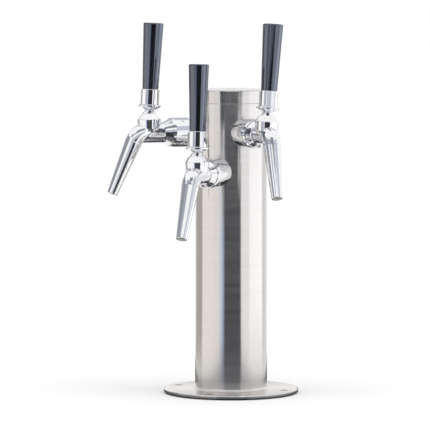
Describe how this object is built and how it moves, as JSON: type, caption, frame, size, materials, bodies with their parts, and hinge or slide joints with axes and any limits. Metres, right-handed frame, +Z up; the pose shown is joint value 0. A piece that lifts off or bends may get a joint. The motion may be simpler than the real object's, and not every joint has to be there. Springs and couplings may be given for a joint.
{
  "type": "beer tap tower",
  "caption": "Round stainless draught beer tower on a screwed flange, with forward-sealing faucets on short shanks and black pull handles.",
  "frame": {"origin": "on the column's axis, in the plane of the worktop that the base gasket lies on", "axes": "+Z up along the column, -Y towards the person who pours, along the centre tap; +X to that person's right"},
  "size_m": [0.1972, 0.2105, 0.408],
  "materials": {
    "brushed_stainless": "brushed round the column, 400 grit",
    "polished_stainless": "mirror polished",
    "chromed_ferrule": "chrome plated",
    "turned_stainless": "as turned",
    "screw_steel": "satin",
    "black_handle": "moulded, glossy",
    "acetal": "natural",
    "black_rubber": "matt",
    "foam": "closed-cell foam"
  },
  "bodies": {
    "tower": {"ball_seat_centre": "acetal", "ball_seat_left": "acetal", "ball_seat_right": "acetal", "base_flange": "brushed_stainless", "base_gasket": "black_rubber", "base_screws": "screw_steel", "bonnet_centre": "polished_stainless", "bonnet_left": "polished_stainless", "bonnet_right": "polished_stainless", "cap_plug": "acetal", "cap_seal": "black_rubber", "column_tube": "brushed_stainless", "coupling_nut_centre": "polished_stainless", "coupling_nut_left": "polished_stainless", "coupling_nut_right": "polished_stainless", "coupling_washers": "black_rubber", "faucet_body_centre": "polished_stainless", "faucet_body_left": "polished_stainless", "faucet_body_right": "polished_stainless", "insulation_sleeve": "foam", "lever_seals": "black_rubber", "locknut_saddles": "acetal", "shank_centre": "turned_stainless", "shank_collar_centre": "polished_stainless", "shank_collar_left": "polished_stainless", "shank_collar_right": "polished_stainless", "shank_left": "turned_stainless", "shank_locknuts": "turned_stainless", "shank_right": "turned_stainless", "spout_centre": "polished_stainless", "spout_left": "polished_stainless", "spout_orings": "black_rubber", "spout_right": "polished_stainless", "tail_elbow_centre": "turned_stainless", "tail_elbow_left": "turned_stainless", "tail_elbow_right": "turned_stainless", "top_cap": "brushed_stainless"},
    "lever_left": {"handle_bolt_left": "turned_stainless", "handle_ferrule_left": "chromed_ferrule", "lever_collar_left": "polished_stainless", "lever_left": "polished_stainless", "tap_handle_left": "black_handle"},
    "shuttle_left": {"shuttle_left": "turned_stainless", "shuttle_oring_left": "black_rubber"},
    "lever_centre": {"handle_bolt_centre": "turned_stainless", "handle_ferrule_centre": "chromed_ferrule", "lever_centre": "polished_stainless", "lever_collar_centre": "polished_stainless", "tap_handle_centre": "black_handle"},
    "shuttle_centre": {"shuttle_centre": "turned_stainless", "shuttle_oring_centre": "black_rubber"},
    "lever_right": {"handle_bolt_right": "turned_stainless", "handle_ferrule_right": "chromed_ferrule", "lever_collar_right": "polished_stainless", "lever_right": "polished_stainless", "tap_handle_right": "black_handle"},
    "shuttle_right": {"shuttle_oring_right": "black_rubber", "shuttle_right": "turned_stainless"}
  },
  "joints": [
    {"name": "lever_left_pull", "type": "hinge", "parent": "tower", "child": "lever_left", "pos_m": [-0.06562, -0.06562, 0.294], "axis": [0.7071, -0.7071, 0], "range_deg": [0, 30]},
    {"name": "shuttle_left_slide", "type": "slide", "parent": "tower", "child": "shuttle_left", "axis": [0.7071, 0.7071, 0], "range_m": [0, 0.0068]},
    {"name": "lever_centre_pull", "type": "hinge", "parent": "tower", "child": "lever_centre", "pos_m": [0, -0.0928, 0.2525], "axis": [1, 0, 0], "range_deg": [0, 30]},
    {"name": "shuttle_centre_slide", "type": "slide", "parent": "tower", "child": "shuttle_centre", "axis": [0, 1, 0], "range_m": [0, 0.0068]},
    {"name": "lever_right_pull", "type": "hinge", "parent": "tower", "child": "lever_right", "pos_m": [0.06667, -0.06457, 0.29394], "axis": [0.7044, 0.7044, -0.0872], "range_deg": [0, 30]},
    {"name": "shuttle_right_slide", "type": "slide", "parent": "tower", "child": "shuttle_right", "axis": [-0.7071, 0.7071, 0], "range_m": [0, 0.0068]}
  ],
  "couplings": [
    {"joint": "shuttle_left_slide", "follows": "lever_left_pull", "m_per_rad": 0.012987},
    {"joint": "shuttle_centre_slide", "follows": "lever_centre_pull", "m_per_rad": 0.012987},
    {"joint": "shuttle_right_slide", "follows": "lever_right_pull", "m_per_rad": 0.012987}
  ]
}
